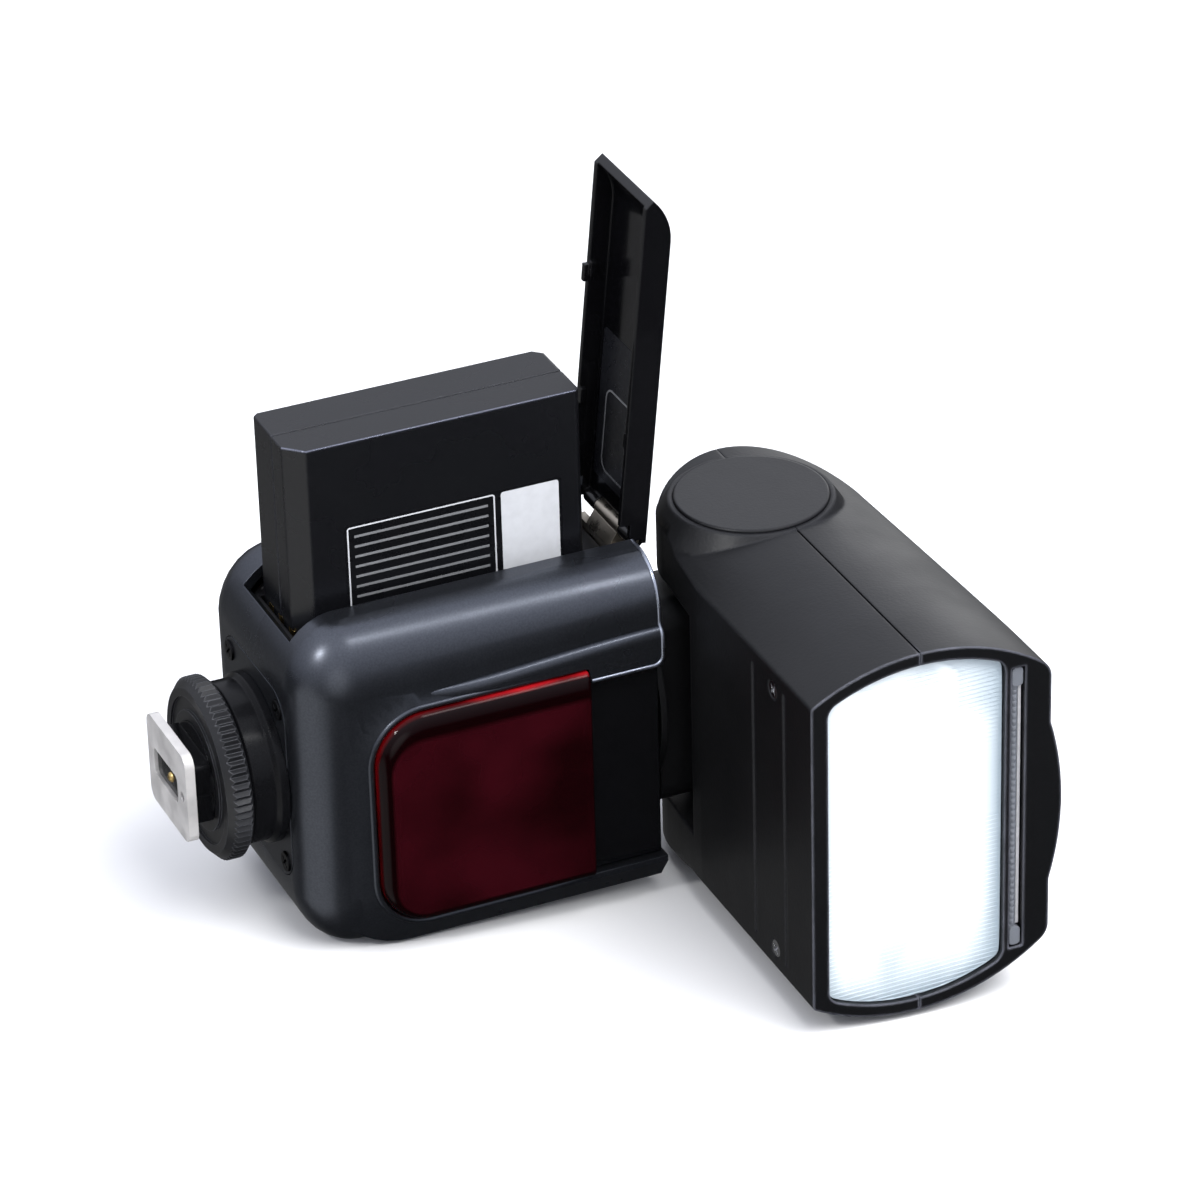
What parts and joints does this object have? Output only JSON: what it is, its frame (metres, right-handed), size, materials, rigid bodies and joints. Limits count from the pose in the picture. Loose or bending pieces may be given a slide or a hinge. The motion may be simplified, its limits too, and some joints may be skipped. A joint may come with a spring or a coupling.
{
  "type": "speedlight flash",
  "caption": "Shoe-mount speedlight with a tilting and turning zoom head, red front window, locking foot, rear controls, and a battery pack that slides out under a hinged door.",
  "frame": {"origin": "centre of the foot plate's outer face, where the shoe's floor touches it", "axes": "+X from the shoe foot to the head along the body, -Y the front of the body and of the drawn head, +Z towards the battery door's side, which is up in the picture"},
  "size_m": [0.1449, 0.1086, 0.141],
  "materials": {
    "silver": "brushed",
    "gold": "plated",
    "foot_black": "fine grain",
    "screw_black": "blackened",
    "shell": "satin charcoal",
    "red": "glossy, tinted",
    "gloss_black": "gloss",
    "lamp": "clear",
    "sensor": "matt",
    "board": "board",
    "sleeve": "sleeved",
    "display_window": "clear",
    "display": "display",
    "keys": "fine grain",
    "pilot": "translucent",
    "flap": "matt",
    "battery": "fine grain",
    "head": "fine grain",
    "lens": "grooved",
    "panel": "ribbed",
    "card": "matt",
    "mirror": "polished"
  },
  "bodies": {
    "main": {"foot_plate": "silver", "foot_block": "foot_black", "foot_collar": "foot_black", "base_plate": "foot_black", "base_screws": "screw_black", "front_shell": "shell", "rear_shell": "shell", "red_window": "red", "front_strip": "gloss_black", "focus_lamp": "lamp", "slave_sensor": "sensor", "battery_bay": "gloss_black", "bay_contacts": "gold", "main_board": "board", "flash_capacitors": "sleeve", "lcd_window": "display_window", "lcd_module": "display", "port_block": "sensor", "swivel_bearing": "foot_black", "hinge_bracket": "silver", "door_pin": "silver"},
    "lock_ring": {"lock_ring": "foot_black"},
    "locking_pin": {"locking_pin": "silver"},
    "centre_contact": {"centre_contact": "gold"},
    "key_1": {"function_key_1": "keys"},
    "key_2": {"function_key_2": "keys"},
    "key_3": {"function_key_3": "keys"},
    "key_4": {"function_key_4": "keys"},
    "dial": {"select_dial": "keys"},
    "set_button": {"set_button": "keys"},
    "pilot_button": {"pilot_button": "pilot"},
    "power_switch": {"power_switch": "keys"},
    "port_cover": {"port_cover": "flap"},
    "door": {"battery_door": "gloss_black"},
    "battery": {"battery_front_case": "battery", "battery_rear_case": "battery", "battery_cells": "sleeve", "battery_terminals": "gold"},
    "neck": {"swivel_disc": "foot_black", "swivel_clip": "silver", "neck_block": "foot_black", "tilt_pins": "silver"},
    "head": {"head_lower_shell": "head", "head_upper_shell": "head", "pivot_cap_upper": "head", "pivot_cap_lower": "head", "fresnel_lens": "lens", "guide_rods": "silver", "zoom_motor": "silver", "trigger_board": "board", "head_screws": "silver"},
    "wide_panel": {"wide_panel": "panel"},
    "bounce_card": {"bounce_card": "card"},
    "zoom": {"reflector": "mirror", "flash_tube": "lamp", "zoom_carriage": "foot_black"},
    "zoom_screw": {"zoom_screw": "silver"}
  },
  "joints": [
    {"name": "head_pan", "type": "hinge", "parent": "main", "child": "neck", "pos_m": [0.09, 0, 0], "axis": [1, 0, 0], "range_deg": [0, 180]},
    {"name": "head_tilt", "type": "hinge", "parent": "neck", "child": "head", "pos_m": [0.114, -0.013, 0], "axis": [0, 0, 1], "range_deg": [-7, 90]},
    {"name": "battery_slide", "type": "slide", "parent": "main", "child": "battery", "axis": [0, 0, 1], "range_m": [-0.0493, 0]},
    {"name": "door_swing", "type": "hinge", "parent": "main", "child": "door", "pos_m": [0.0913, 0, 0.0326], "axis": [0, 1, 0], "range_deg": [-96, 0]},
    {"name": "lock_ring_turn", "type": "hinge", "parent": "main", "child": "lock_ring", "pos_m": [0.0058, 0, 0], "axis": [1, 0, 0], "range_deg": [0, 90]},
    {"name": "locking_pin_slide", "type": "slide", "parent": "main", "child": "locking_pin", "axis": [-1, 0, 0], "range_m": [0, 0.0015]},
    {"name": "contact_press", "type": "slide", "parent": "main", "child": "centre_contact", "axis": [1, 0, 0], "range_m": [0, 0.0008], "stiffness_N_per_m": 800},
    {"name": "key_1_press", "type": "slide", "parent": "main", "child": "key_1", "axis": [0, -1, 0], "range_m": [0, 0.0007], "stiffness_N_per_m": 600},
    {"name": "key_2_press", "type": "slide", "parent": "main", "child": "key_2", "axis": [0, -1, 0], "range_m": [0, 0.0007], "stiffness_N_per_m": 600},
    {"name": "key_3_press", "type": "slide", "parent": "main", "child": "key_3", "axis": [0, -1, 0], "range_m": [0, 0.0007], "stiffness_N_per_m": 600},
    {"name": "key_4_press", "type": "slide", "parent": "main", "child": "key_4", "axis": [0, -1, 0], "range_m": [0, 0.0007], "stiffness_N_per_m": 600},
    {"name": "dial_turn", "type": "hinge", "parent": "main", "child": "dial", "pos_m": [0.0375, 0.026, 0], "axis": [0, 1, 0], "continuous": true},
    {"name": "set_press", "type": "slide", "parent": "main", "child": "set_button", "axis": [0, -1, 0], "range_m": [0, 0.0007], "stiffness_N_per_m": 600},
    {"name": "pilot_press", "type": "slide", "parent": "main", "child": "pilot_button", "axis": [0, -1, 0], "range_m": [0, 0.0006], "stiffness_N_per_m": 600},
    {"name": "power_slide", "type": "slide", "parent": "main", "child": "power_switch", "axis": [1, 0, 0], "range_m": [-0.0022, 0.0022]},
    {"name": "port_cover_swing", "type": "hinge", "parent": "main", "child": "port_cover", "pos_m": [0.052, 0.0112, -0.0335], "axis": [-1, 0, 0], "range_deg": [0, 110]},
    {"name": "wide_panel_slide", "type": "slide", "parent": "head", "child": "wide_panel", "axis": [0, -1, 0], "range_m": [0, 0.034]},
    {"name": "bounce_card_slide", "type": "slide", "parent": "head", "child": "bounce_card", "axis": [0, -1, 0], "range_m": [0, 0.034]},
    {"name": "zoom_slide", "type": "slide", "parent": "head", "child": "zoom", "axis": [0, 1, 0], "range_m": [0, 0.018]},
    {"name": "zoom_screw_turn", "type": "hinge", "parent": "head", "child": "zoom_screw", "pos_m": [0.0999, -0.06, 0], "axis": [0, 1, 0], "range_deg": [0, 1620]}
  ],
  "couplings": [
    {"joint": "door_swing", "follows": "battery_slide", "rad_per_m": 33.986},
    {"joint": "locking_pin_slide", "follows": "lock_ring_turn", "m_per_rad": 0.00095493},
    {"joint": "zoom_screw_turn", "follows": "zoom_slide", "rad_per_m": 1570.8}
  ]
}
